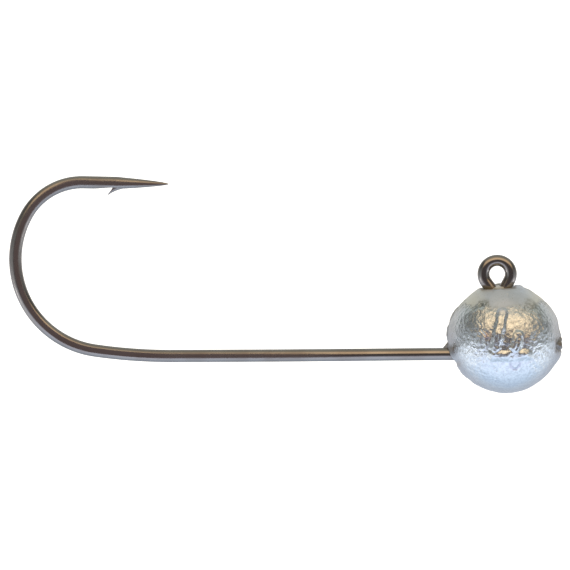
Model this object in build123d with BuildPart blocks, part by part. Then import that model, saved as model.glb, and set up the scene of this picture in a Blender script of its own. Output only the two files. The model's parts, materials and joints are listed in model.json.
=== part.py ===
from build123d import *
import os
from math import cos, radians, sin

# Ball jig head: a 90 degree jig hook bent from one steel wire, with a lead ball cast around
# the bend below its line eye.
# Frame: origin at the centre of the line eye, +Z up, +X from the hook bend to the nose of the
# ball, and the hook lies in the XZ plane. All lengths are in millimetres, angles in degrees.

# ---- hook wire ----
wire_diameter = 1.00
eye_radius = 1.11  # eye centre to the centreline of the wire
neck_lean = 36.0  # lean of the eye leg that runs on into the hook
neck_radius = 1.5  # bend that brings this leg upright
tail_lean = 28.0  # lean of the eye's other leg, which ends inside the lead
tail_length = 0.8
shank_depth = 6.51  # eye centre down to the shank, at the elbow
elbow_radius = 2.0  # the 90 degree bend inside the ball
shank_droop = 0.4  # the shank sinks slightly towards the bend
shank_length = 24.25  # straight wire from the elbow to the bend
easing_radius = 43.0  # the bend begins as a long gentle curve
easing_turn = 8.6
bend_radius = 7.5  # main round of the bend
bend_turn = 110.6
top_radius = 5.15  # tighter round that leads into the point
top_turn = 62.4

# ---- point and barb ----
point_straight = 2.3  # full wire between the bend and the needle point
point_length = 4.65
tip_radius = 0.03
barb_reach = 4.85  # point tip back to the barb's tip
barb_root = 4.0  # point tip back to where the barb lifts off the wire
barb_lift = 0.42  # the barb's tip below the wire's underside
barb_width = 0.42
barb_notch = 0.10  # depth of the cut left behind the lifted barb

# ---- lead ball ----
ball_x = 0.63  # ball centre from the eye centre
ball_z = -5.22
ball_long = 4.60  # half length of the slightly egg-shaped ball
ball_round = 4.42  # its radius around the long axis
ball_tilt = -10.0  # the long axis dips towards the nose
flash_width = 0.10  # parting flash standing off the ball
flash_thickness = 0.14
top_flat = 0.97  # eye centre down to the flat that the eye legs rise from
web_radius = 0.36  # lead that filled the crotch of the eye
web_depth = 1.20  # eye centre down to the web's centre
web_thickness = 0.80
sprue_width = 2.6  # oval stub of the snapped-off sprue on the nose
sprue_thickness = 0.84
sprue_height = 0.12
sprue_tilt = -5.0
nub_size = 0.36  # triangle of flash above the shank

# ---- raised mould mark on the front of the ball ----
mark_relief = 0.16
bar_width = 0.70
long_bar_height = 3.6
long_bar_at = (-0.62, 0.95)  # bar centres, from the ball centre
short_bar_height = 1.7
short_bar_at = (0.80, 0.10)
bar_slant = -12.0
base_bar_width = 3.3
base_bar_height = 0.66
base_bar_at = (0.30, -0.98)

# ---- derived values ----
wire_radius = wire_diameter / 2
ball_centre = (ball_x, 0, ball_z)
eye_opening = 2 * (eye_radius - wire_radius)


def tangent(angle):
    """Unit direction drawn in the hook plane: 0 points to +X and 90 points up."""
    return (cos(radians(angle)), sin(radians(angle)))


def way(angle):
    """The same direction as an (X, Y, Z) vector."""
    return (cos(radians(angle)), 0, sin(radians(angle)))


# The hook: one wire, from its tail in the lead, round the eye and down through the ball, along
# the shank and round the bend to the start of the point.
neck_start = (-eye_radius * cos(radians(neck_lean)), -eye_radius * sin(radians(neck_lean)))
tail_start = (eye_radius * cos(radians(tail_lean)), -eye_radius * sin(radians(tail_lean)))
neck_drop = neck_radius * sin(radians(neck_lean))
neck_shift = neck_radius * (1 - cos(radians(neck_lean)))
neck_length = (-neck_start[0] - neck_shift) / sin(radians(neck_lean))
eye_turn = 180 + neck_lean + tail_lean
tail_heading = -90 - tail_lean
neck_heading = neck_lean - 90
shank_heading = 180 + shank_droop

with BuildPart() as hook:
    with BuildLine(Plane.XZ) as wire_path:
        neck = PolarLine(neck_start, neck_length, neck_heading)
        upright_bend = JernArc(neck @ 1, neck % 1, neck_radius, -neck_lean)
        leg_bottom = (0, elbow_radius - shank_depth)
        upright = Line(upright_bend @ 1, leg_bottom)
        elbow = JernArc(upright @ 1, upright % 1, elbow_radius, -90 + shank_droop)
        shank = PolarLine(elbow @ 1, shank_length, shank_heading)
        easing = JernArc(shank @ 1, shank % 1, easing_radius, -easing_turn)
        main_bend = JernArc(easing @ 1, easing % 1, bend_radius, -bend_turn)
        top_bend = JernArc(main_bend @ 1, main_bend % 1, top_radius, -top_turn)
        before_point = Line(top_bend @ 1, (top_bend @ 1) + (top_bend % 1) * point_straight)
        eye_loop = JernArc(neck_start, tangent(neck_heading + 180), eye_radius, -eye_turn)
        tail = PolarLine(tail_start, tail_length, tail_heading)
    with BuildSketch(Plane(origin=wire_path.line @ 0, z_dir=wire_path.line % 0)):
        Circle(wire_radius)
    sweep()

    # The needle point is an ogive that leaves the wire tangentially.
    point_start = wire_path.line @ 1
    point_way = wire_path.line % 1
    with BuildSketch(Plane(origin=point_start, x_dir=point_way, z_dir=(0, -1, 0))):
        with BuildLine():
            ogive = TangentArc((0, wire_radius), (point_length, tip_radius), tangent=(1, 0))
            Polyline(ogive @ 1, (point_length, 0), (0, 0), ogive @ 0)
        make_face()
    revolve(axis=Axis(point_start, point_way))

    # The barb is a sliver cut up from the underside, leaning back towards the bend.
    tip = point_start + point_way * point_length
    underside = Plane(origin=tip, x_dir=point_way, z_dir=(0, -1, 0))
    with BuildSketch(underside):
        Polygon(
            (-barb_root, -wire_radius + barb_notch),
            (-barb_root, -wire_diameter),
            (-barb_reach - barb_lift, -wire_diameter),
            (-barb_reach - barb_lift, -wire_radius),
            align=None,
        )
    extrude(amount=wire_radius, both=True, mode=Mode.SUBTRACT)
    with BuildSketch(underside):
        Polygon(
            (-barb_root + barb_lift, -wire_radius + 2 * barb_notch),
            (-barb_reach, -wire_radius - barb_lift),
            (-barb_root - barb_lift, -wire_radius + 2 * barb_notch),
            align=None,
        )
    extrude(amount=barb_width / 2, both=True)

# The mould mark: two slanted bars over a base bar, standing off the front of the ball.
long_axis = Axis(ball_centre, way(ball_tilt))
ball_plane = Plane(origin=ball_centre, x_dir=long_axis.direction, z_dir=(0, -1, 0))
front_plane = Plane(origin=ball_centre, x_dir=(1, 0, 0), z_dir=(0, -1, 0))

with BuildPart() as mould_mark:
    with BuildSketch(ball_plane):
        with BuildLine():
            EllipticalCenterArc((0, 0), ball_long + mark_relief, ball_round + mark_relief, arc_size=180)
            Line((-ball_long - mark_relief, 0), (ball_long + mark_relief, 0))
        make_face()
    revolve(axis=long_axis)
    with BuildSketch(front_plane):
        with Locations(long_bar_at):
            SlotOverall(long_bar_height, bar_width, rotation=90 + bar_slant)
        with Locations(short_bar_at):
            SlotOverall(short_bar_height, bar_width, rotation=90 + bar_slant)
        with Locations(base_bar_at):
            SlotOverall(base_bar_width, base_bar_height)
    extrude(amount=2 * ball_round, mode=Mode.INTERSECT)

# The head: one lead casting, with the channel that the hook wire fills.
with BuildPart() as head:
    with BuildSketch(ball_plane):
        with BuildLine():
            EllipticalCenterArc((0, 0), ball_long, ball_round, arc_size=180)
            Line((-ball_long, 0), (ball_long, 0))
        make_face()
    revolve(axis=long_axis)
    # Flash along the parting plane, with a larger nub above the shank.
    with BuildSketch(ball_plane):
        Ellipse(ball_long + flash_width, ball_round + flash_width)
    extrude(amount=flash_thickness / 2, both=True)
    nub_at = (ball_x - ball_long, -shank_depth + wire_radius)
    with BuildSketch(Plane.XZ):
        with BuildLine():
            Polyline(
                (nub_at[0] - nub_size / 2, nub_at[1]),
                (nub_at[0] + nub_size, nub_at[1] + nub_size),
                (nub_at[0] + 2 * nub_size, nub_at[1]),
                close=True,
            )
        make_face()
    extrude(amount=flash_thickness, both=True)
    # The stub of the sprue on the nose, wider than it is high.
    with BuildSketch(Plane(origin=ball_centre, x_dir=(0, 1, 0), z_dir=way(sprue_tilt))):
        Ellipse(sprue_width / 2, sprue_thickness / 2)
    extrude(amount=ball_long + sprue_height)
    add(mould_mark.part)
    # A small flat on top, and the web of lead in the crotch of the eye.
    with BuildSketch(Plane.XY.offset(-top_flat)):
        Rectangle(2 * ball_long, 2 * ball_round)
    extrude(amount=ball_long, mode=Mode.SUBTRACT)
    with BuildSketch(Plane.XZ):
        with Locations((0, -web_depth)):
            Circle(web_radius)
    extrude(amount=web_thickness / 2, both=True)
    add(hook.part, mode=Mode.SUBTRACT)

os.makedirs("parts", exist_ok=True)
hook.part.label = "hook"
export_step(hook.part, "parts/hook.step")
head.part.label = "head"
export_step(head.part, "parts/head.step")

for piece in (hook.part, head.part):
    size = piece.bounding_box().size
    print(f"{piece.label}: {piece.volume:.2f} mm3, {size.X:.2f} x {size.Y:.2f} x {size.Z:.2f} mm")
print(f"line eye opening: {eye_opening:.2f} mm")
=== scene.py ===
import json
import math

import bmesh
import bpy
import numpy as np
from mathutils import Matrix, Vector, noise


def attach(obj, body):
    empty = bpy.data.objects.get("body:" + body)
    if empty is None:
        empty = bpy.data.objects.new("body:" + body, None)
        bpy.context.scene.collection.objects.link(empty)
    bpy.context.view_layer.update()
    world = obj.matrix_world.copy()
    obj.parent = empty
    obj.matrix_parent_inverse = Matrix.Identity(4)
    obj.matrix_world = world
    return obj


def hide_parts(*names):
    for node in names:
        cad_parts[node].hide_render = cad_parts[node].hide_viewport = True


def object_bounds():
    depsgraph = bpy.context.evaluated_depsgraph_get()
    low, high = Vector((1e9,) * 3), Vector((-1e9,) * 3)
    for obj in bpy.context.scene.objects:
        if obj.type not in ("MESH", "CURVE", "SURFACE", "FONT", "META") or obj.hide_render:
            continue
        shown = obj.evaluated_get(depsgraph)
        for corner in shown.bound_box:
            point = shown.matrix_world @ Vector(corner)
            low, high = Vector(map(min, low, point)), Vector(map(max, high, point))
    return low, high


# A ball jig head seen from the side: the bent steel hook and the lead ball cast around it.
# The CAD frame gives the places. Lengths here are in millimetres and angles in degrees, and
# they turn into metres when a mesh is made. The hook lies in the XZ plane, +X towards the ball.

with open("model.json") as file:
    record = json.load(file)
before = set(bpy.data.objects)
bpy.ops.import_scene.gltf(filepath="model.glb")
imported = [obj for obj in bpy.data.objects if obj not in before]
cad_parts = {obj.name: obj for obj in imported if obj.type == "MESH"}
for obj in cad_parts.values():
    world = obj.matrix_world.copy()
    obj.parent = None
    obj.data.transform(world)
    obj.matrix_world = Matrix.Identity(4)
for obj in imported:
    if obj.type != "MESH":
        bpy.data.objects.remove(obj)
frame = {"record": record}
cad_low, cad_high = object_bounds()
MM = 0.001
mounts = {mount["name"]: mount for mount in frame["record"]["mounts"]}

# ---- the hook's driving dimensions ----
WIRE_RADIUS = mounts["bait_shank"]["dims"]["r_mm"]
EYE_RADIUS = mounts["line_eye"]["dims"]["r_mm"] + WIRE_RADIUS
NECK_LEAN = 36.0
NECK_RADIUS = 1.5
TAIL_LEAN = 28.0
TAIL_LENGTH = 0.8
SHANK_DEPTH = 6.51
ELBOW_RADIUS = 2.0
SHANK_DROOP = 0.4
SHANK_LENGTH = 24.25
EASING = (43.0, 8.6)
MAIN_BEND = (7.5, 110.6)
TOP_BEND = (5.15, 62.4)
POINT_STRAIGHT = 2.3
POINT_LENGTH = 4.65

# ---- how finely the wire is cut into rings ----
RING_TURN = 2.5  # degrees between rings in a bend
BEND_STEP = 0.12
POINT_STEP = 0.05
STRAIGHT_STEP = 0.16

# ---- how the real wire strays from an even tube ----
SHANK_SWELL = 1.02
EYE_SWELL = 1.0
EYE_FADE = (1.0, -0.5)  # where the swell changes, from the end of the neck
EYE_STRETCH = 0.075  # the wire is drawn thinner over the top of the eye
EYE_CROWN = 0.484  # where that is, as a part of the eye's turn
EYE_CROWN_SPREAD = 0.22
SHANK_BOW = 0.03
FORGE_WIDEN = 0.02
FORGE_THIN = 0.07
FORGE_START = (-2.0, 4.0)  # fades in from the shank's end to past the easing's end
FORGE_STOP = (1.5, -2.0)  # and fades out round the end of the top bend
WIRE_WOBBLE = 0.006
WOBBLES_PER_MM = 0.8
GRIND_LENGTH = 4.3
GRIND_POWER = 0.62

# ---- barb, from the point's tip: x forward, y up ----
BARB_ROOT = 4.0
BARB_OUTER = ((-3.30, -0.40), (-4.28, -0.50), (-4.93, -1.00))
BARB_INNER = ((-4.42, -0.10), (-4.62, -0.50), (-4.98, -0.93))
BARB_TIP = (-5.00, -1.01)
BARB_HALF_WIDTH = 0.30
BARB_NARROWING = 0.6
BARB_EDGE = 0.02
NOTCH_START = 4.5
NOTCH_END = 6.4
NOTCH_DEPTH = 0.14
SHARP_ANGLE = 38.0  # edges of the hook steeper than this stay sharp

# ---- the ball's driving dimensions ----
BALL_LONG = 4.60
BALL_ROUND = 4.42
BALL_TILT = -10.0
BALL_CENTRE = (0.63, 0.0, -5.22)

BALL_WAVES = ((0.035, 0.35, 1.0), (0.010, 1.1, 2.0))  # height, waves per mm, noise seed

# ---- the ball's surface, from its centre: x to the nose, y up on the front face ----
# each bar of the mould mark: centre, length, width, lean, and how wide its sloped walls are
MARK_BARS = (
    ((-0.62, 0.95), 3.6, 0.70, -12.0, 0.36),
    ((0.80, 0.10), 1.7, 0.70, -12.0, 0.36),
    ((0.30, -0.98), 3.3, 0.66, 90.0, 0.56),
)
MARK_HEIGHT = 0.25
MARK_SINK = 0.45
MARK_WORN = ((0.42, -0.98), 0.40, 0.62)  # place, size and depth of the base bar's worn middle
# the cast ball is not quite egg-round: angle in the hook's plane from the nose, spread, height
LUMPS = (
    (74, 4, 0.07),
    (10, 9, -0.13),
    (52, 15, -0.10),
    (96, 10, 0.12),
    (118, 5, 0.08),
    (133, 6, -0.06),
    (168, 12, 0.05),
    (205, 4, -0.20),
    (230, 5, -0.09),
    (278, 26, 0.07),
    (342, 8, 0.15),
)
LUMP_FADE = (2.8, 0.6)  # gone this far from the hook's plane, and full this near to it
# pits: place, radius and depth
PITS = (
    (0.10, 3.72, 0.18, 0.10),
    (-1.00, -2.05, 0.11, 0.06),
    (-0.79, -2.33, 0.11, 0.06),
    (-0.86, -3.02, 0.10, 0.05),
    (2.35, -2.05, 0.10, 0.05),
    (-2.62, -0.35, 0.12, 0.06),
)
SWIRL = (-2.0, 2.86, 0.36, 0.05)  # place, radius and depth
# creases: the path, the half width and the depth
CREASES = (
    (((-2.40, 1.75), (-2.05, 1.35), (-2.10, 0.95), (-1.72, 0.55)), 0.10, 0.035),
    (((2.00, 2.15), (2.70, 1.60), (3.00, 0.75)), 0.10, 0.015),
    (
        ((0.40, -1.50), (0.38, -1.85), (0.55, -2.12), (0.82, -2.15), (1.00, -1.85)),
        0.17,
        0.035,
    ),
)
# the snapped sprue stub: its width and thickness, its height, and how far out it was torn
SPRUE_SIZE = (2.6, 0.84)
SPRUE_HEIGHT = -0.42
SPRUE_FACE = 4.60
NOSE_GROOVE = 0.20
# the torn flash above the shank: its top, its tip and how far it stands out
NUB_TOP = -0.30
NUB_TIP = -0.76
NUB_REACH = 0.34

# ---- the seat under the eye and the web in its crotch, from the eye's centre ----
SEAT_HEIGHT = -1.16
SEAT_SLOPE = 0.06
SEAT_X = 0.08
SEAT_HALF = (1.34, 0.85)
WEB_X = 0.10
WEB_HALF = (0.62, 0.74)
WEB_TOP = -0.97

# ---- shades of the wire, and the places in millimetres where one fades into another ----
NICKEL = ((0.37, 0.335, 0.305), (0.33, 0.29, 0.26))
NICKEL_WORN = (0.24, 0.22, 0.22)
FLUX_BROWN = (0.20, 0.165, 0.11)
FLUX_TOP = (-0.92, -1.12)
FLUX_RAGGED = 0.5
FOOT_BOTTOM = (-3.0, -2.0)
FOOT_BACK = (-3.0, -2.0)
FLUX_METALLIC = 0.55
FLUX_ROUGHNESS = 0.3
HALF_AND_HALF = (0.35, 0.65)  # noise levels that split a surface evenly between two shades
CLOUDY = (0.3, 0.7)
WORN_SPECKS = (0.62, 0.74)
WORN_STRENGTH = 0.5
WIRE_ROUGHNESS = (0.14, 0.21)
RUBBED_ABOVE = (-3.5, 1.5)  # the upper bend and the middle of the shank are rubbed dull
RUBBED_BEHIND = (-18.0, -22.0)
MIDDLE_STARTS = (-12.5, -15.5)
MIDDLE_ENDS = (-29.0, -26.0)
RUBBED_ROUGHNESS = 0.11

# ---- shades of the lead ----
BRIGHT_LEAD = ((0.72, 0.74, 0.75), (0.86, 0.88, 0.87))
OXIDE = ((0.66, 0.73, 0.83), (0.77, 0.84, 0.95))
SHOULDER_OXIDE = (0.86, 0.87, 0.80)
# painted dark reflection: a mottled dark ring round the bright zone, strongest on the sides
PAINTED_DARK_RING = (0.20, 0.21, 0.19)
RIM_GREY = (0.46, 0.455, 0.46)
PORE_DIRT = (0.30, 0.30, 0.29)
DROP_GREY = (0.46, 0.45, 0.54)
FLUX_STAIN = (0.30, 0.27, 0.18)
WEB_PALE = (0.84, 0.84, 0.80)
# painted shade on the snapped sprue's face and the groove before it
PAINTED_NOSE_SHADE = (0.25, 0.22, 0.19)
# how the lead's shades are broken up: noise levels, and then strengths
MOTTLED = (0.60, 0.42)
MOTTLE_STRENGTH = 2.4
DARK_RING_MIDDLE = 0.15
RIM_MATTE = 0.8
LOW_RIM_STRENGTH = 0.8
PORES = (0.40, 0.28)
PORE_STRENGTH = 0.55
STAIN_GRAIN = (0.34, 0.62)
STAIN_STRENGTH = 0.7
NOSE_SHADE_GRAIN = (0.38, 0.55)
NOSE_SHADE_STRENGTH = (0.45, 0.95)
TINT_GRAIN = (0.62, 0.38)
TINT_BROKEN = (0.35, 1.0)
# metal and gloss, bright first and then where oxide makes it matte
LEAD_METALLIC = (0.95, 0.5)
LEAD_ROUGHNESS = (0.10, 0.17)
MATTE_ROUGHNESS = 0.30
MATTE_SMOOTHING = 0.75
BELLY_FOIL = 0.30
UPPER_CRINKLE = 0.25
# spots on the front of the ball, from its centre: place, size, colour and strength; the four dark
# ones high on the sides are painted dark reflection, the two rose ones are tints
TINTS_AND_PAINTED_DARKS = (
    ((-1.84, 3.00), 0.80, (0.30, 0.31, 0.28), 0.75),
    ((2.07, 3.00), 0.85, (0.30, 0.31, 0.28), 0.70),
    ((2.77, 2.40), 0.75, (0.30, 0.31, 0.28), 0.60),
    ((3.35, 1.25), 0.70, (0.36, 0.37, 0.36), 0.45),
    ((-1.50, 0.55), 0.62, (0.56, 0.38, 0.40), 0.60),
    ((1.55, 0.35), 0.62, (0.60, 0.44, 0.38), 0.50),
)
TINT_CORE = 0.2  # the part of a tint's size that has its full strength
DROP = (0.70, -1.72)  # a flow mark, round below and open above
DROP_RING = 0.36
DROP_LINE = (0.20, 0.02)
DROP_STRENGTH = 0.6
DROP_WANDER = 0.35
DROP_OPEN = (0.45, -0.10)  # it fades out between these heights over its middle
# places in millimetres where one shade of the lead fades into another
OXIDE_STARTS = (-2.85, -2.05)
OXIDE_WANDER = 2.0
RIM_FADE = (2.4, 0.9)
SHOULDERS = (1.2, 2.8)
DARK_RING_SIDES = (0.6, 1.7)
LOW_RIM_FADE = (3.1, 1.3)
LOW_RIM_STARTS = (-3.2, -5.4)
STAIN_HEIGHTS = (-1.36, -1.18)
STAIN_WIDTH = (1.55, 1.25)
STAIN_DEPTH = (1.6, 0.9)
WEB_WIDTH = (0.66, 0.50)
WEB_HEIGHTS = (-1.18, -1.08)
WEB_DEPTH = (0.85, 0.70)
NOSE_SHADE_STARTS = (3.9, 4.1)
NOSE_SHADE_HEIGHTS = (0.75, 0.45)
BELLY = (-7.3, -6.0)  # the underside is smooth in the middle
BELLY_SIDES = (0.9, 2.3)
BELLY_BOTTOM = (-9.0, -7.8)
CRINKLE_STARTS = (-4.4, -5.2)
DENT_SMOOTHNESS = 0.35


def smooth_step(low, high, value):
    """0 below low, 1 above high, and an S curve between; low may be the larger one."""
    t = np.clip((value - low) / (high - low), 0.0, 1.0)
    return t * t * (3.0 - 2.0 * t)


def noise_at(points, scale, octaves=3, seed=0.0):
    """Fractal noise, about -1 to 1, at points in millimetres; scale is in cycles per mm."""
    shift = Vector((seed * 7.1, seed * 3.7, seed * 5.3))
    values = [noise.fractal(Vector(p) * scale + shift, 1.0, 2.0, octaves) for p in points]
    return np.array(values)


def ridges_at(points, scale, seed=0.0):
    """Sharp creases, 1 on a crease line and 0 away from it."""
    shift = Vector((seed * 7.1, seed * 3.7, seed * 5.3))
    values = [noise.noise(Vector(p) * scale + shift) for p in points]
    return np.clip(1.0 - np.abs(np.array(values)) * 4.0, 0.0, 1.0)


def new_piece(name, verts_mm, faces):
    """A smooth-shaded mesh object from millimetre vertices."""
    mesh = bpy.data.meshes.new(name)
    mesh.from_pydata((np.asarray(verts_mm) * MM).tolist(), [], faces)
    mesh.validate()
    mesh.update()
    mesh.shade_smooth()
    piece = bpy.data.objects.new(name, mesh)
    bpy.context.scene.collection.objects.link(piece)
    return piece


# ---- hook ----
def hook_route():
    """Centreline of the wire from the tail in the lead to the point's tip.

    Returns x, z and heading along it, the length travelled, and the length at each span's end.
    """
    neck_start = -EYE_RADIUS * math.cos(math.radians(NECK_LEAN))
    neck_shift = NECK_RADIUS * (1 - math.cos(math.radians(NECK_LEAN)))
    neck_length = (-neck_start - neck_shift) / math.sin(math.radians(NECK_LEAN))
    neck_bottom = (
        -EYE_RADIUS * math.sin(math.radians(NECK_LEAN))
        - neck_length * math.cos(math.radians(NECK_LEAN))
        - NECK_RADIUS * math.sin(math.radians(NECK_LEAN))
    )
    upright = SHANK_DEPTH - ELBOW_RADIUS + neck_bottom
    spans = (
        ("tail", TAIL_LENGTH, 0.0),
        ("eye", EYE_RADIUS, 180 + NECK_LEAN + TAIL_LEAN),
        ("neck", neck_length, 0.0),
        ("neck_bend", NECK_RADIUS, -NECK_LEAN),
        ("upright", upright, 0.0),
        ("elbow", ELBOW_RADIUS, -90 + SHANK_DROOP),
        ("shank", SHANK_LENGTH, 0.0),
        ("easing", EASING[0], -EASING[1]),
        ("bend", MAIN_BEND[0], -MAIN_BEND[1]),
        ("top", TOP_BEND[0], -TOP_BEND[1]),
        ("point", POINT_STRAIGHT + POINT_LENGTH, 0.0),
    )
    heading = math.radians(90 - TAIL_LEAN)
    lean = math.radians(TAIL_LEAN)
    x = EYE_RADIUS * math.cos(lean) - TAIL_LENGTH * math.cos(heading)
    z = -EYE_RADIUS * math.sin(lean) - TAIL_LENGTH * math.sin(heading)
    rows = [(x, z, heading, 0.0)]
    ends = {}
    travelled = 0.0
    for name, size, turn_degrees in spans:
        turn = math.radians(turn_degrees)
        length = size * abs(turn) if turn else size
        if turn:
            count = max(4, math.ceil(abs(turn_degrees) / RING_TURN), math.ceil(length / BEND_STEP))
        else:
            step = POINT_STEP if name == "point" else STRAIGHT_STEP
            count = max(2, math.ceil(length / step))
        x0, z0, heading0, _ = rows[-1]
        for i in range(1, count + 1):
            part = i / count
            if turn:
                side = math.copysign(size, turn)
                h = heading0 + turn * part
                x = x0 + side * (math.sin(h) - math.sin(heading0))
                z = z0 - side * (math.cos(h) - math.cos(heading0))
            else:
                h = heading0
                x = x0 + math.cos(h) * length * part
                z = z0 + math.sin(h) * length * part
            rows.append((x, z, h, travelled + length * part))
        travelled += length
        ends[name] = travelled
    return np.array(rows), ends


def wire_profile(along, ends):
    """Half width of the wire in the hook's plane and across it, at each length along it."""
    to_tip = ends["point"] - along
    taper = np.clip(to_tip / GRIND_LENGTH, 0.0, 1.0) ** GRIND_POWER
    in_eye = smooth_step(ends["neck"] + EYE_FADE[0], ends["neck"] + EYE_FADE[1], along)
    full = WIRE_RADIUS * (SHANK_SWELL - (SHANK_SWELL - EYE_SWELL) * in_eye)
    crown = (along - ends["tail"]) / (ends["eye"] - ends["tail"]) - EYE_CROWN
    full = full * (1 - EYE_STRETCH * np.exp(-((crown / EYE_CROWN_SPREAD) ** 2)))
    forge = smooth_step(ends["shank"] + FORGE_START[0], ends["easing"] + FORGE_START[1], along)
    forge *= smooth_step(ends["top"] + FORGE_STOP[0], ends["top"] + FORGE_STOP[1], along)
    wobble = np.array([noise.noise(Vector((a * WOBBLES_PER_MM, 0.0, 7.0))) for a in along])
    full = full * (1 + WIRE_WOBBLE * wobble)
    return full * taper * (1 + FORGE_WIDEN * forge), full * taper * (1 - FORGE_THIN * forge)


def build_wire(segments=64):
    """The wire as one closed tube: forged a little flat in the bend and ground to a needle."""
    rows, ends = hook_route()
    x, z, heading, along = rows.T
    shank = np.clip((along - ends["elbow"]) / (ends["easing"] - ends["elbow"]), 0.0, 1.0)
    z = z - SHANK_BOW * np.sin(math.pi * shank) ** 2
    inplane, across = wire_profile(along, ends)
    to_tip = ends["point"] - along
    cut = NOTCH_DEPTH * smooth_step(NOTCH_END, NOTCH_START, to_tip) * (to_tip > BARB_ROOT)
    angles = np.arange(segments) * 2 * math.pi / segments
    verts = []
    for i in range(len(rows) - 1):
        normal = np.array((-math.sin(heading[i]), 0.0, math.cos(heading[i])))
        centre = np.array((x[i], 0.0, z[i]))
        # the hook turns clockwise, so the inside of the bend lies on the negative side
        ring = centre + np.outer(np.cos(angles) * inplane[i], normal)
        ring[:, 1] += np.sin(angles) * across[i]
        if cut[i] > 0:
            up = ring[:, 2] - z[i]
            ring[:, 2] = z[i] + np.maximum(up, -inplane[i] + cut[i])
        verts.extend(ring)
    rings = len(rows) - 1
    tail_cap = len(verts)
    verts.append((x[0], 0.0, z[0]))
    tip = len(verts)
    verts.append((x[-1], 0.0, z[-1]))
    faces = []
    for i in range(rings - 1):
        for j in range(segments):
            k = (j + 1) % segments
            a = i * segments
            faces.append((a + j, a + k, a + segments + k, a + segments + j))
    last = (rings - 1) * segments
    for j in range(segments):
        k = (j + 1) % segments
        faces.append((tail_cap, k, j))
        faces.append((tip, last + j, last + k))
    wire = new_piece("hook_wire", np.array(verts), faces)
    return wire, (x[-1], z[-1]), heading[-1]


def bezier(start, control, end, t):
    """The point at part t of a curve that leaves start towards control and arrives at end."""
    return (
        start[0] * (1 - t) ** 2 + 2 * control[0] * t * (1 - t) + end[0] * t**2,
        start[1] * (1 - t) ** 2 + 2 * control[1] * t * (1 - t) + end[1] * t**2,
    )


def build_barb(tip, heading, stations=26, arc=14):
    """The barb: a sliver of the wire's underside lifted back, flat inside and round outside."""
    forward = np.array((math.cos(heading), math.sin(heading)))
    upward = np.array((-forward[1], forward[0]))
    verts = []
    for i in range(stations):
        t = i / stations
        outer = bezier(*BARB_OUTER, t)
        inner = bezier(*BARB_INNER, t)
        half = BARB_HALF_WIDTH * (1 - t) ** BARB_NARROWING + BARB_EDGE
        for j in range(arc + 1):
            a = math.pi * j / arc
            swing = math.sin(a)
            u = inner[0] + (outer[0] - inner[0]) * swing
            v = inner[1] + (outer[1] - inner[1]) * swing
            place = np.array(tip) + forward * u + upward * v
            verts.append((place[0], half * math.cos(a), place[1]))
    end = np.array(tip) + forward * BARB_TIP[0] + upward * BARB_TIP[1]
    apex = len(verts)
    verts.append((end[0], 0.0, end[1]))
    ring = arc + 1
    faces = [tuple(range(ring))]
    for i in range(stations - 1):
        for j in range(ring):
            k = (j + 1) % ring
            a = i * ring
            faces.append((a + k, a + j, a + ring + j, a + ring + k))
    last = (stations - 1) * ring
    for j in range(ring):
        faces.append((apex, last + (j + 1) % ring, last + j))
    barb = new_piece("barb_blank", np.array(verts), faces)
    outward = bmesh.new()
    outward.from_mesh(barb.data)
    bmesh.ops.recalc_face_normals(outward, faces=outward.faces)
    outward.to_mesh(barb.data)
    outward.free()
    return barb


def build_hook():
    """The wire and its barb, joined into one closed mesh."""
    wire, tip, heading = build_wire()
    barb = build_barb(tip, heading)
    union = wire.modifiers.new("barb", "BOOLEAN")
    union.operation = "UNION"
    union.solver = "EXACT"
    union.object = barb
    solved = wire.evaluated_get(bpy.context.evaluated_depsgraph_get())
    joined = bpy.data.meshes.new_from_object(solved)
    wire.modifiers.clear()
    plain_tube, barb_blank = wire.data, barb.data
    wire.data = joined
    joined.shade_smooth()
    joined.set_sharp_from_angle(angle=math.radians(SHARP_ANGLE))
    bpy.data.objects.remove(barb)
    bpy.data.meshes.remove(barb_blank)
    bpy.data.meshes.remove(plain_tube)
    joined.name = "hook_wire"
    return wire


# ---- head ----
def cube_sphere(half_divisions):
    """Unit directions and quads of a sphere wrapped from a cube's even grid."""
    n = half_divisions
    steps = np.arange(-n, n + 1)
    u, v = np.meshgrid(steps, steps, indexing="ij")
    corners = []
    for axis in range(3):
        for side in (-n, n):
            grid = np.zeros(u.shape + (3,), int)
            grid[..., axis] = side
            grid[..., (axis + 1) % 3] = u if side > 0 else v
            grid[..., (axis + 2) % 3] = v if side > 0 else u
            quad = (grid[:-1, :-1], grid[1:, :-1], grid[1:, 1:], grid[:-1, 1:])
            corners.append(np.stack(quad, axis=2).reshape(-1, 3))
    lattice, index = np.unique(np.concatenate(corners), axis=0, return_inverse=True)
    cube = np.tan(lattice / n * math.pi / 4)
    directions = cube / np.linalg.norm(cube, axis=1, keepdims=True)
    return directions, index.reshape(-1, 4)


def bar_distance(u, v, centre, length, width, slant):
    """Distance outside a bar with rounded ends; negative inside it."""
    c, s = math.cos(math.radians(slant)), math.sin(math.radians(slant))
    du, dv = u - centre[0], v - centre[1]
    across, up = c * du + s * dv, -s * du + c * dv
    reach = np.maximum(np.abs(up) - (length - width) / 2, 0.0)
    return np.hypot(across, reach) - width / 2


def path_distance(u, v, path):
    """Distance from a chain of straight pieces drawn on the ball's front."""
    nearest = np.full(len(u), 1e9)
    for (u0, v0), (u1, v1) in zip(path, path[1:]):
        du, dv = u1 - u0, v1 - v0
        t = np.clip(((u - u0) * du + (v - v0) * dv) / (du**2 + dv**2), 0.0, 1.0)
        nearest = np.minimum(nearest, np.hypot(u - u0 - t * du, v - v0 - t * dv))
    return nearest


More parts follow.
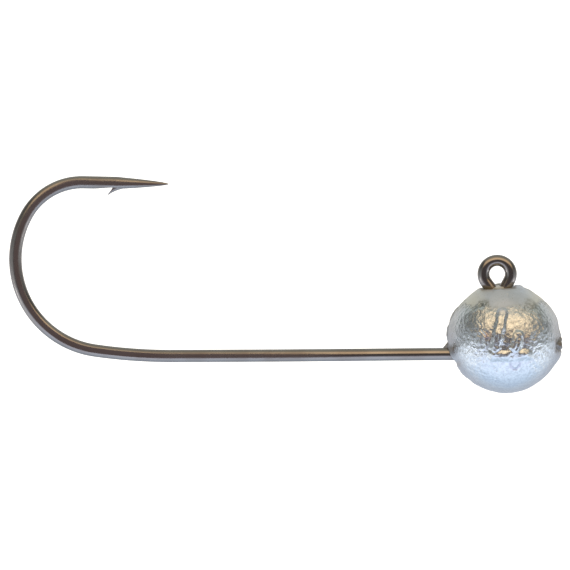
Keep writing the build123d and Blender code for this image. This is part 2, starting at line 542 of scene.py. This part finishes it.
def mark_relief(base):
    """The raised mould mark: sloped, slightly wandering walls and tops that sank while cooling."""
    x, y, z = base.T
    wander, unevenness = 0.09, 0.22
    sink_start, sink_end = 0.6, 1.5  # how far in from a wall, as parts of its width
    front = smooth_step(-1.0, -2.0, y)
    u = x + wander * noise_at(base, 1.5, octaves=3, seed=4.0)
    v = z + wander * noise_at(base, 1.5, octaves=3, seed=5.0)
    relief = np.zeros(len(x))
    for centre, length, width, slant, wall in MARK_BARS:
        distance = bar_distance(u, v, centre, length, width, slant)
        bar = smooth_step(wall / 2, -wall / 2, distance)
        bar *= 1 - MARK_SINK * smooth_step(-wall * sink_start, -wall * sink_end, distance)
        relief = np.maximum(relief, bar)
    weight = 1 + unevenness * noise_at(base, 0.9, octaves=2, seed=12.0)
    (worn_u, worn_v), worn_size, worn_depth = MARK_WORN
    weight -= worn_depth * np.exp(-((np.hypot(u - worn_u, v - worn_v) / worn_size) ** 2))
    return MARK_HEIGHT * relief * weight * front


def blemish_relief(base):
    """Pits, a swirl, creases and a crinkled band in the cast skin of the ball's front."""
    x, y, z = base.T
    front = smooth_step(-0.6, -1.6, y)
    height = np.zeros(len(x))
    for u0, v0, radius, depth in PITS:
        height -= depth * smooth_step(radius, 0.0, np.hypot(x - u0, z - v0)) * front
    u0, v0, radius, depth = SWIRL
    ripple, reach = 2.6, 1.1
    out = np.hypot(x - u0, z - v0) / radius
    height -= depth * np.cos(out * ripple) * np.exp(-((out / reach) ** 2)) * front
    wander, lip_height = 0.04, 0.5
    lip_outside, lip_top = 2.4, 1.2  # as parts of the crease's half width
    for path, width, depth in CREASES:
        away = path_distance(x + wander * noise_at(base, 2.2, octaves=2, seed=7.0), z, path)
        groove = smooth_step(width, 0.0, away)
        lip = smooth_step(width * lip_outside, width * lip_top, away) - groove
        height += depth * (lip_height * lip - groove) * front
    swell, crinkle, calm = 0.008, 0.009, 0.3
    bright = smooth_step(3.6, 2.4, z) * smooth_step(-1.2, -3.0, y)
    height += swell * noise_at(base, 1.9, octaves=3, seed=8.0) * (calm + (1 - calm) * bright)
    crinkled = bright * smooth_step(0.9, -0.2, z) * smooth_step(-2.2, -1.2, z)
    height += crinkle * (1 - 2 * ridges_at(base, 2.8, seed=9.0)) * crinkled
    return height


def lump_relief(base):
    """Swells and flats round the ball's outline, gone well before the middle of each side."""
    x, y, z = base.T
    turn = np.degrees(np.arctan2(z, x))
    height = np.zeros(len(x))
    for angle, spread, size in LUMPS:
        away = (turn - angle + 180) % 360 - 180
        height += size * np.exp(-((away / spread) ** 2))
    return height * smooth_step(*LUMP_FADE, np.abs(y))


def seam_relief(base):
    """Parting flash round the ball: thin, uneven, and broken off in places."""
    x, y, z = base.T
    foot, crest, wander = 0.11, 0.02, 0.03
    even, uneven, left_extra, left_ragged = 0.045, 0.05, 0.06, 0.07
    lost, deepest = 0.8, -0.02
    ridge = smooth_step(foot, crest, np.abs(y - wander * noise_at(base, 0.6, octaves=2, seed=10.0)))
    amount = even + uneven * noise_at(base, 0.5, octaves=2, seed=3.0)
    beside_shank = smooth_step(-3.6, -4.4, x)
    amount += left_extra * beside_shank * smooth_step(-0.9, 0.2, z)
    amount += left_ragged * noise_at(base, 3.2, octaves=2, seed=19.0) * smooth_step(-3.0, -3.8, x)
    broken = smooth_step(0.25, 0.45, noise_at(base, 1.5, octaves=2, seed=11.0))
    return ridge * np.maximum(amount * (1 - lost * broken), deepest)


def nose_relief(base, directions):
    """The snapped sprue on the nose: a rough oval stub with a torn groove before it."""
    x, y, z = base.T
    nose = x > 0
    ragged, rough, dished = 0.10, 0.07, 0.10
    groove_middle, groove_spread = 1.25, 0.18  # as parts of the oval's size
    oval = np.hypot(y / (SPRUE_SIZE[0] / 2), (z - SPRUE_HEIGHT) / (SPRUE_SIZE[1] / 2))
    oval = oval + ragged * noise_at(base, 1.6, octaves=2, seed=13.0)
    face = SPRUE_FACE + rough * noise_at(base, 1.8, octaves=3, seed=14.0)
    face = face - dished * smooth_step(0.55, 0.0, oval)
    outward = np.maximum(directions[:, 0], 0.5)
    stand = np.where(nose, (face - x) / outward, 0.0)
    stub = smooth_step(1.08, 0.92, oval) * nose
    groove = np.exp(-(((oval - groove_middle) / groove_spread) ** 2))
    groove = groove * nose * smooth_step(0.2, -0.6, y)
    return stub * stand - NOSE_GROOVE * groove


def entry_relief(base):
    """Lead drawn up where the shank enters, and the torn triangle of flash above it."""
    x, y, z = base.T
    collar_height, collar_radius, collar_spread = 0.09, 0.62, 0.16
    nub_power, nub_undercut, nub_sides = 1.3, (-0.16, 0.02), (0.16, 0.05)
    left = smooth_step(-3.4, -3.9, x)
    from_wire = np.hypot(y, z + SHANK_DEPTH + BALL_CENTRE[2])
    collar = np.exp(-(((from_wire - collar_radius) / collar_spread) ** 2))
    rise = np.clip((NUB_TOP - z) / (NUB_TOP - NUB_TIP), 0.0, 1.0)
    nub = rise**nub_power
    nub = nub * smooth_step(NUB_TIP + nub_undercut[0], NUB_TIP + nub_undercut[1], z)
    nub = nub * smooth_step(*nub_sides, np.abs(y))
    return (collar_height * collar + NUB_REACH * nub) * left


def shape_crown(placed, base):
    """The dished seat of the eye legs and the web of lead in the eye's crotch."""
    x, y, z = placed.T
    blur, front_blur, back_blur = 0.14, 0.15, 0.25
    wander, uneven, lumpy, crown_depth = 0.10, 0.03, 0.10, 1.0
    ragged = wander * noise_at(base, 1.3, octaves=3, seed=15.0)
    seat = SEAT_HEIGHT + SEAT_SLOPE * x + uneven * noise_at(base, 1.6, octaves=2, seed=16.0)
    from_seat = np.abs(x - SEAT_X + ragged)
    inside = smooth_step(SEAT_HALF[0] + blur, SEAT_HALF[0] - blur, from_seat)
    inside *= smooth_step(SEAT_HALF[1] + back_blur, SEAT_HALF[1] - front_blur, y + ragged)
    top = z > SEAT_HEIGHT - crown_depth
    placed[:, 2] = np.where(top & (z > seat), z + (seat - z) * inside, z)
    web = np.hypot((x - WEB_X) / WEB_HALF[0], y / WEB_HALF[1])
    bead = np.sqrt(np.clip(1 - web**2, 0.0, 1.0)) * (WEB_TOP - SEAT_HEIGHT)
    bead = bead * (1 + lumpy * noise_at(base, 3.0, octaves=2, seed=17.0))
    placed[:, 2] += np.where(top, bead, 0.0)
    return placed


def build_head(half_divisions=64):
    """The lead casting: an egg-round ball with its mark, flash, sprue stub, pits and creases."""
    directions, quads = cube_sphere(half_divisions)
    c, s = math.cos(math.radians(BALL_TILT)), math.sin(math.radians(BALL_TILT))
    along = directions[:, 0] * c + directions[:, 2] * s
    reach = 1 / np.sqrt((along / BALL_LONG) ** 2 + (1 - along**2) / BALL_ROUND**2)
    base = directions * reach[:, None]
    height = np.zeros(len(base))
    for size, rate, seed in BALL_WAVES:
        height += size * noise_at(base, rate, octaves=2, seed=seed)
    height += lump_relief(base)
    height += mark_relief(base)
    height += blemish_relief(base)
    height += seam_relief(base)
    height += nose_relief(base, directions)
    height += entry_relief(base)
    placed = base + directions * height[:, None]
    placed += np.array(BALL_CENTRE)
    return new_piece("lead_ball", shape_crown(placed, base), quads.tolist())


# ---- materials ----
def new_material(name):
    """A new material, its node tree and its surface shader."""
    material = bpy.data.materials.new(name)
    material.use_nodes = True
    tree = material.node_tree
    return material, tree, tree.nodes["Principled BSDF"]


def math_node(tree, operation, first, second=None, third=None):
    """A Math node fed by sockets or plain numbers; returns its output socket."""
    node = tree.nodes.new("ShaderNodeMath")
    node.operation = operation
    for socket, value in zip(node.inputs, (first, second, third)):
        if value is None:
            continue
        if isinstance(value, bpy.types.NodeSocket):
            tree.links.new(value, socket)
        else:
            socket.default_value = value
    return node.outputs[0]


def ramp_node(tree, value, low, high, low_out=0.0, high_out=1.0):
    """A smooth ramp of one socket; low may be the larger number."""
    node = tree.nodes.new("ShaderNodeMapRange")
    node.interpolation_type = "SMOOTHSTEP"
    tree.links.new(value, node.inputs["Value"])
    if low > high:
        low, high, low_out, high_out = high, low, high_out, low_out
    node.inputs["From Min"].default_value = low
    node.inputs["From Max"].default_value = high
    node.inputs["To Min"].default_value = low_out
    node.inputs["To Max"].default_value = high_out
    return node.outputs["Result"]


def noise_node(tree, places, per_mm, detail=3.0, rough=0.5, kind="FBM", distort=0.0):
    """Noise over places in metres, with per_mm features to the millimetre."""
    node = tree.nodes.new("ShaderNodeTexNoise")
    node.noise_type = kind
    tree.links.new(places, node.inputs["Vector"])
    node.inputs["Scale"].default_value = per_mm / MM
    node.inputs["Detail"].default_value = detail
    node.inputs["Roughness"].default_value = rough
    node.inputs["Distortion"].default_value = distort
    return node.outputs["Fac"]


def dent_node(tree, places, per_mm):
    """Small round dents side by side, as on hammered foil."""
    node = tree.nodes.new("ShaderNodeTexVoronoi")
    node.feature = "SMOOTH_F1"
    tree.links.new(places, node.inputs["Vector"])
    node.inputs["Scale"].default_value = per_mm / MM
    node.inputs["Smoothness"].default_value = DENT_SMOOTHNESS
    return node.outputs["Distance"]


def colour_mix(tree, factor, first, second):
    """One colour fading into another; each is a socket or a plain colour."""
    node = tree.nodes.new("ShaderNodeMix")
    node.data_type = "RGBA"
    tree.links.new(factor, node.inputs["Factor"])
    for name, colour in (("A", first), ("B", second)):
        if isinstance(colour, bpy.types.NodeSocket):
            tree.links.new(colour, node.inputs[name])
        else:
            node.inputs[name].default_value = (*colour, 1)
    return node.outputs["Result"]


def bump_node(tree, height, depth_mm, before=None):
    """A bump of the given depth, on top of an earlier one."""
    node = tree.nodes.new("ShaderNodeBump")
    node.inputs["Distance"].default_value = depth_mm * MM
    tree.links.new(height, node.inputs["Height"])
    if before is not None:
        tree.links.new(before, node.inputs["Normal"])
    return node.outputs["Normal"]


def product(tree, first, *factors):
    """Sockets or numbers multiplied in turn."""
    for factor in factors:
        first = math_node(tree, "MULTIPLY", first, factor)
    return first


def unsigned(tree, value):
    """The value without its sign."""
    return math_node(tree, "ABSOLUTE", value)


def zone(tree, place, start_mm, end_mm, start_out=0.0, end_out=1.0):
    """A smooth ramp along a place in metres, between two places given in millimetres."""
    return ramp_node(tree, place, start_mm * MM, end_mm * MM, start_out, end_out)


def object_places(tree):
    """Object coordinates in metres, and their x, y and z."""
    where = tree.nodes.new("ShaderNodeTexCoord").outputs["Object"]
    split = tree.nodes.new("ShaderNodeSeparateXYZ")
    tree.links.new(where, split.inputs[0])
    return where, split.outputs


def front_distance(tree, places, spot):
    """Distance in metres from a spot on the front of the ball, given from the ball's centre."""
    u, v = spot
    depth = -math.sqrt(BALL_ROUND**2 - u**2 - v**2)
    node = tree.nodes.new("ShaderNodeVectorMath")
    node.operation = "DISTANCE"
    tree.links.new(places, node.inputs[0])
    centre = Vector(BALL_CENTRE) + Vector((u, depth, v))
    node.inputs[1].default_value = centre * MM
    return node.outputs["Value"]


def hook_material():
    """Black nickel over drawn wire: dark and glossy, browned where it meets the lead."""
    material, tree, shader = new_material("black_nickel_wire")
    where, (x, _, z) = object_places(tree)
    clouds = noise_node(tree, where, per_mm=0.45, detail=3.0)
    specks = noise_node(tree, where, per_mm=5.0, detail=4.0, rough=0.6)
    waves = noise_node(tree, where, per_mm=1.1, detail=2.0)
    plating = colour_mix(tree, ramp_node(tree, clouds, *HALF_AND_HALF), *NICKEL)
    worn = ramp_node(tree, specks, *WORN_SPECKS, high_out=WORN_STRENGTH)
    plating = colour_mix(tree, worn, plating, NICKEL_WORN)
    # flux and heat at the foot of the eye's legs
    ragged = noise_node(tree, where, per_mm=2.0, detail=3.0)
    ragged = math_node(tree, "MULTIPLY_ADD", ragged, FLUX_RAGGED * MM, -FLUX_RAGGED / 2 * MM)
    foot = zone(tree, math_node(tree, "ADD", z, ragged), *FLUX_TOP)
    foot = product(tree, foot, zone(tree, z, *FOOT_BOTTOM), zone(tree, x, *FOOT_BACK))
    stained = colour_mix(tree, foot, plating, FLUX_BROWN)
    tree.links.new(stained, shader.inputs["Base Color"])
    metallic = ramp_node(tree, foot, 0.0, 1.0, 1.0, FLUX_METALLIC)
    tree.links.new(metallic, shader.inputs["Metallic"])
    rough = ramp_node(tree, clouds, *CLOUDY, *WIRE_ROUGHNESS)
    rough = math_node(tree, "MULTIPLY_ADD", foot, FLUX_ROUGHNESS, rough)
    bend = product(tree, zone(tree, z, *RUBBED_ABOVE), zone(tree, x, *RUBBED_BEHIND))
    middle = product(tree, zone(tree, x, *MIDDLE_STARTS), zone(tree, x, *MIDDLE_ENDS))
    rubbed = math_node(tree, "MAXIMUM", bend, middle)
    rough = math_node(tree, "MULTIPLY_ADD", rubbed, RUBBED_ROUGHNESS, rough)
    tree.links.new(rough, shader.inputs["Roughness"])
    skin = bump_node(tree, waves, depth_mm=0.010)
    skin = bump_node(tree, specks, depth_mm=0.002, before=skin)
    tree.links.new(skin, shader.inputs["Normal"])
    return material


def with_tints_and_painted_darks(tree, body, where, grain):
    """The body colour with its front spots, broken up by the grain: painted dark reflections and
    two rose tints.
    """
    for spot, size, colour, strength in TINTS_AND_PAINTED_DARKS:
        away = front_distance(tree, where, spot)
        near = zone(tree, away, size, size * TINT_CORE, 0.0, strength)
        broken = ramp_node(tree, grain, *TINT_GRAIN, *TINT_BROKEN)
        body = colour_mix(tree, product(tree, near, broken), body, colour)
    return body


def with_drop(tree, body, where, z, wander):
    """The grey line of the flow mark: a ring that fades out over its upper half."""
    from_ring = math_node(tree, "SUBTRACT", front_distance(tree, where, DROP), DROP_RING * MM)
    from_ring = math_node(tree, "ADD", from_ring, product(tree, wander, DROP_WANDER))
    ring = zone(tree, unsigned(tree, from_ring), *DROP_LINE, 0.0, DROP_STRENGTH)
    middle = BALL_CENTRE[2] + DROP[1]
    lower = zone(tree, z, middle + DROP_OPEN[0], middle + DROP_OPEN[1])
    return colour_mix(tree, product(tree, ring, lower), body, DROP_GREY)


def with_seat(tree, body, places, grain):
    """Flux stains round the legs of the eye, and the cleaner web between them."""
    x, y, z = places
    stains = product(
        tree,
        zone(tree, z, *STAIN_HEIGHTS),
        zone(tree, unsigned(tree, x), *STAIN_WIDTH),
        ramp_node(tree, grain, *STAIN_GRAIN),
        zone(tree, unsigned(tree, y), *STAIN_DEPTH),
    )
    body = colour_mix(tree, product(tree, stains, STAIN_STRENGTH), body, FLUX_STAIN)
    from_web = unsigned(tree, math_node(tree, "SUBTRACT", x, WEB_X * MM))
    web = product(
        tree,
        zone(tree, from_web, *WEB_WIDTH),
        zone(tree, z, *WEB_HEIGHTS),
        zone(tree, unsigned(tree, y), *WEB_DEPTH),
    )
    return colour_mix(tree, web, body, WEB_PALE)


def with_nose_shade(tree, body, places, grain):
    """The dark face of the snapped sprue: painted shade over its rough recess."""
    x, _, z = places
    nose_z = (BALL_CENTRE[2] + SPRUE_HEIGHT) * MM
    from_nose = unsigned(tree, math_node(tree, "SUBTRACT", z, nose_z))
    torn = product(
        tree,
        zone(tree, x, BALL_CENTRE[0] + NOSE_SHADE_STARTS[0], BALL_CENTRE[0] + NOSE_SHADE_STARTS[1]),
        zone(tree, from_nose, *NOSE_SHADE_HEIGHTS),
        ramp_node(tree, grain, *NOSE_SHADE_GRAIN, *NOSE_SHADE_STRENGTH),
    )
    return colour_mix(tree, torn, body, PAINTED_NOSE_SHADE)


def lead_material():
    """Cast lead: bright crinkled foil-like skin, dull grey oxide on top and rim, painted dark
    reflection and shade.
    """
    material, tree, shader = new_material("cast_lead")
    where, places = object_places(tree)
    x, y, z = places
    patches = noise_node(tree, where, per_mm=0.55, detail=4.0, rough=0.6)
    grain = noise_node(tree, where, per_mm=4.6, detail=4.0, rough=0.62)
    fine = noise_node(tree, where, per_mm=9.0, detail=3.0, rough=0.6)
    creases = noise_node(
        tree,
        where,
        per_mm=2.3,
        detail=5.0,
        rough=0.55,
        kind="RIDGED_MULTIFRACTAL",
        distort=0.6,
    )
    dents = dent_node(tree, where, per_mm=2.7)
    wander = math_node(tree, "MULTIPLY_ADD", patches, OXIDE_WANDER * MM, -OXIDE_WANDER / 2 * MM)
    oxide = zone(tree, math_node(tree, "ADD", z, wander), *OXIDE_STARTS)
    rim = zone(tree, unsigned(tree, math_node(tree, "ADD", y, wander)), *RIM_FADE)
    matte = math_node(tree, "MAXIMUM", oxide, product(tree, rim, RIM_MATTE))
    off_middle = unsigned(tree, math_node(tree, "SUBTRACT", x, BALL_CENTRE[0] * MM))

    # colour: bright metal, grey oxide, a mottled painted dark reflection where they meet, and dirt
    # in the pores
    bright = colour_mix(tree, ramp_node(tree, grain, *HALF_AND_HALF), *BRIGHT_LEAD)
    dull = colour_mix(tree, ramp_node(tree, patches, *HALF_AND_HALF), *OXIDE)
    dull = colour_mix(tree, zone(tree, off_middle, *SHOULDERS), dull, SHOULDER_OXIDE)
    body = colour_mix(tree, oxide, bright, dull)
    painted_ring = product(
        tree,
        oxide,
        math_node(tree, "SUBTRACT", 1.0, oxide),
        zone(tree, off_middle, *DARK_RING_SIDES, DARK_RING_MIDDLE, 1.0),
        product(tree, ramp_node(tree, grain, *MOTTLED), MOTTLE_STRENGTH),
    )
    body = colour_mix(tree, painted_ring, body, PAINTED_DARK_RING)
    low_rim = product(
        tree,
        zone(tree, unsigned(tree, y), *LOW_RIM_FADE),
        zone(tree, z, *LOW_RIM_STARTS),
        LOW_RIM_STRENGTH,
    )
    body = colour_mix(tree, low_rim, body, RIM_GREY)
    dirt = ramp_node(tree, fine, *PORES, 0.0, PORE_STRENGTH)
    body = colour_mix(tree, dirt, body, PORE_DIRT)
    body = with_tints_and_painted_darks(tree, body, where, grain)
    body = with_drop(tree, body, where, z, wander)
    body = with_seat(tree, body, places, grain)
    body = with_nose_shade(tree, body, places, grain)
    tree.links.new(body, shader.inputs["Base Color"])

    # gloss: the oxide is duller and less metallic
    tree.links.new(ramp_node(tree, matte, 0.0, 1.0, *LEAD_METALLIC), shader.inputs["Metallic"])
    rough = ramp_node(tree, patches, *CLOUDY, *LEAD_ROUGHNESS)
    rough = math_node(tree, "MULTIPLY_ADD", matte, MATTE_ROUGHNESS, rough)
    tree.links.new(rough, shader.inputs["Roughness"])

    # skin: grain, round dents and fine creases, weak on the oxide and on the belly
    foil = math_node(tree, "SUBTRACT", 1.0, product(tree, matte, MATTE_SMOOTHING))
    above_belly = zone(tree, z, *BELLY, BELLY_FOIL, 1.0)
    sides = product(tree, zone(tree, off_middle, *BELLY_SIDES), zone(tree, z, *BELLY_BOTTOM))
    foil = product(tree, foil, math_node(tree, "MAXIMUM", above_belly, sides))
    crinkle = product(tree, foil, zone(tree, z, *CRINKLE_STARTS, UPPER_CRINKLE, 1.0))
    skin = bump_node(tree, product(tree, grain, foil), depth_mm=0.050)
    skin = bump_node(tree, product(tree, dents, foil), depth_mm=0.045, before=skin)
    skin = bump_node(tree, product(tree, creases, crinkle), depth_mm=0.018, before=skin)
    skin = bump_node(tree, fine, depth_mm=0.008, before=skin)
    tree.links.new(skin, shader.inputs["Normal"])
    return material


hook = build_hook()
hook.data.materials.append(hook_material())
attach(hook, "root")
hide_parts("hook")

head = build_head()
head.data.materials.append(lead_material())
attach(head, "root")
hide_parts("head")


# ---- studio ----
# Reflections as (angle, colour): the angle runs round the hook's own axis, 0 straight towards
# the viewer's side, 90 up and -90 down.
ROOM_BANDS = (
    (-180, (0.72, 0.72, 0.74)),
    (-155, (0.84, 0.91, 1.04)),
    (-130, (0.68, 0.78, 0.92)),
    (-105, (0.59, 0.73, 0.94)),
    (-78, (0.84, 1.00, 1.25)),
    (-42, (1.02, 1.13, 1.42)),
    (-26, (0.36, 0.37, 0.43)),
    (-15, (0.12, 0.115, 0.128)),
    (17, (0.12, 0.110, 0.115)),
    (29, (1.40, 1.10, 0.74)),
    (50, (1.46, 1.13, 0.76)),
    (65, (0.72, 0.64, 0.50)),
    (84, (0.46, 0.44, 0.37)),
    (117, (0.43, 0.48, 0.46)),
    (150, (0.58, 0.61, 0.62)),
    (179, (0.72, 0.72, 0.74)),
)
# the same for the light from both ends of the hook: -90 straight down, 90 straight up
SIDE_BANDS = (
    (-90, (0.88, 1.00, 1.25)),
    (-30, (0.96, 1.05, 1.18)),
    (-5, (0.44, 0.48, 0.52)),
    (20, (0.13, 0.14, 0.135)),
    (50, (0.15, 0.16, 0.15)),
    (72, (0.42, 0.45, 0.45)),
    (90, (0.52, 0.57, 0.58)),
)
# where that light takes over, as a direction's part along the hook, and how it is shifted
SIDE_SHIFT = -0.05
SIDE_START = 0.62
SIDE_END = 0.80
BEHIND = (0.2, 0.55)  # the sides end this far round the back
# a small bright opening low on each side: the way to it, how sharp its edge is, and its light
GLINT_WAY = (0.90, -0.19, -0.39)
GLINT_EDGE = (0.990, 0.998)
GLINT_LIGHT = (2.8, 2.9, 3.1)


def colour_ramp(nodes, bands, low, high):
    """A colour ramp whose stops are given in degrees between low and high."""
    ramp = nodes.new("ShaderNodeValToRGB")
    elements = ramp.color_ramp.elements
    while len(elements) < len(bands):
        elements.new(0.5)
    for element, (degrees, colour) in zip(elements, bands):
        element.position = (degrees - low) / (high - low)
        element.color = (*colour, 1)
    return ramp


def build_world():
    """Soft room light by direction: warm above the front, cool below, grey behind and above."""
    world = bpy.data.worlds.new("soft_room")
    world.use_nodes = True
    bpy.context.scene.world = world
    tree = world.node_tree
    nodes, links = tree.nodes, tree.links
    where = nodes.new("ShaderNodeTexCoord")
    split = nodes.new("ShaderNodeSeparateXYZ")
    links.new(where.outputs["Generated"], split.inputs[0])
    side, back, up = split.outputs
    round_hook = math_node(tree, "ARCTAN2", up, product(tree, back, -1.0))
    part = math_node(tree, "MULTIPLY_ADD", round_hook, 0.5 / math.pi, 0.5)
    room = colour_ramp(nodes, ROOM_BANDS, -180, 180)
    links.new(part, room.inputs["Fac"])
    climb = math_node(tree, "ARCSINE", up)
    height = math_node(tree, "MULTIPLY_ADD", climb, 1 / math.pi, 0.5)
    sides = colour_ramp(nodes, SIDE_BANDS, -90, 90)
    links.new(height, sides.inputs["Fac"])
    from_middle = unsigned(tree, math_node(tree, "ADD", side, SIDE_SHIFT))
    sideways = ramp_node(tree, from_middle, SIDE_START, SIDE_END)
    in_front = ramp_node(tree, back, BEHIND[1], BEHIND[0])
    sideways = product(tree, sideways, in_front)
    light = colour_mix(tree, sideways, room.outputs["Color"], sides.outputs["Color"])
    toward = product(tree, unsigned(tree, side), GLINT_WAY[0])
    toward = math_node(tree, "MULTIPLY_ADD", back, GLINT_WAY[1], toward)
    toward = math_node(tree, "MULTIPLY_ADD", up, GLINT_WAY[2], toward)
    light = colour_mix(tree, ramp_node(tree, toward, *GLINT_EDGE), light, GLINT_LIGHT)
    links.new(light, nodes["Background"].inputs["Color"])


build_world()

# floor, well below the hanging jig
FLOOR_DROP = 0.03
FLOOR_HALF = 3.0
FLOOR_SHADE = 0.9
FLOOR_ROUGHNESS = 0.9


def build_floor():
    """A plain pale sheet that only the camera sees."""
    z = cad_low[2] - FLOOR_DROP
    half = FLOOR_HALF
    corners = [(-half, -half, z), (half, -half, z), (half, half, z), (-half, half, z)]
    mesh = bpy.data.meshes.new("floor")
    mesh.from_pydata(corners, [], [(0, 1, 2, 3)])
    floor = bpy.data.objects.new("floor", mesh)
    bpy.context.scene.collection.objects.link(floor)
    material, _, shader = new_material("pale_floor")
    shader.inputs["Base Color"].default_value = (FLOOR_SHADE, FLOOR_SHADE, FLOOR_SHADE, 1)
    shader.inputs["Roughness"].default_value = FLOOR_ROUGHNESS
    shader.inputs["Emission Color"].default_value = (1, 1, 1, 1)
    shader.inputs["Emission Strength"].default_value = 1.0
    floor.data.materials.append(material)
    floor.visible_glossy = False
    floor.visible_diffuse = False


build_floor()

# A dark flag that darkens the reflections in the left of the hook. It stands in line with the
# ball, so the ball sees only its edge. In millimetres: x and y of its near and far ends, and how
# much it rises at each end and falls, for each millimetre in front of the hook.
FLAG_NEAR = (-13.5, -18.7)
FLAG_FAR = (-75.0, -89.0)
FLAG_RISE = (0.66, 1.77)
FLAG_FALL = 0.80
FLAG_LIGHT = (0.215, 0.175, 0.185)


def build_flag():
    """The flag, seen only in reflections."""
    corners = []
    for (x, y), rise in zip((FLAG_NEAR, FLAG_FAR), FLAG_RISE):
        corners.append((x, y, -SHANK_DEPTH + y * FLAG_FALL))
        corners.append((x, y, -SHANK_DEPTH - y * rise))
    mesh = bpy.data.meshes.new("black_flag")
    mesh.from_pydata([[c * MM for c in corner] for corner in corners], [], [(0, 1, 3, 2)])
    flag = bpy.data.objects.new("black_flag", mesh)
    bpy.context.scene.collection.objects.link(flag)
    material, _, shader = new_material("flag_cloth")
    shader.inputs["Base Color"].default_value = (0, 0, 0, 1)
    shader.inputs["Specular IOR Level"].default_value = 0.0
    shader.inputs["Emission Color"].default_value = (*FLAG_LIGHT, 1)
    shader.inputs["Emission Strength"].default_value = 1.0
    flag.data.materials.append(material)
    flag.visible_camera = False
    flag.visible_diffuse = False
    flag.visible_shadow = False


build_flag()

# camera
VIEW_ELEVATION = math.radians(5)
VIEW_DISTANCE = 0.45
VIEW_SHIFT = 0.105 * MM
VIEW_MARGIN = 1.029  # the picture's width over the jig's length
SENSOR_WIDTH = 36
CLIP_START = 0.01
centre = (Vector(cad_low) + Vector(cad_high)) / 2 - Vector((VIEW_SHIFT, 0, 0))
view_width = VIEW_MARGIN * (cad_high[0] - cad_low[0])
camera_data = bpy.data.cameras.new("camera")
camera_data.sensor_width = SENSOR_WIDTH
camera_data.lens = SENSOR_WIDTH * VIEW_DISTANCE / view_width
camera_data.clip_start = CLIP_START
camera = bpy.data.objects.new("camera", camera_data)
away = Vector((0, -math.cos(VIEW_ELEVATION), math.sin(VIEW_ELEVATION)))
camera.location = centre + away * VIEW_DISTANCE
camera.rotation_euler = (math.pi / 2 - VIEW_ELEVATION, 0, 0)
bpy.context.scene.collection.objects.link(camera)
bpy.context.scene.camera = camera
bpy.context.scene.view_settings.view_transform = "Standard"
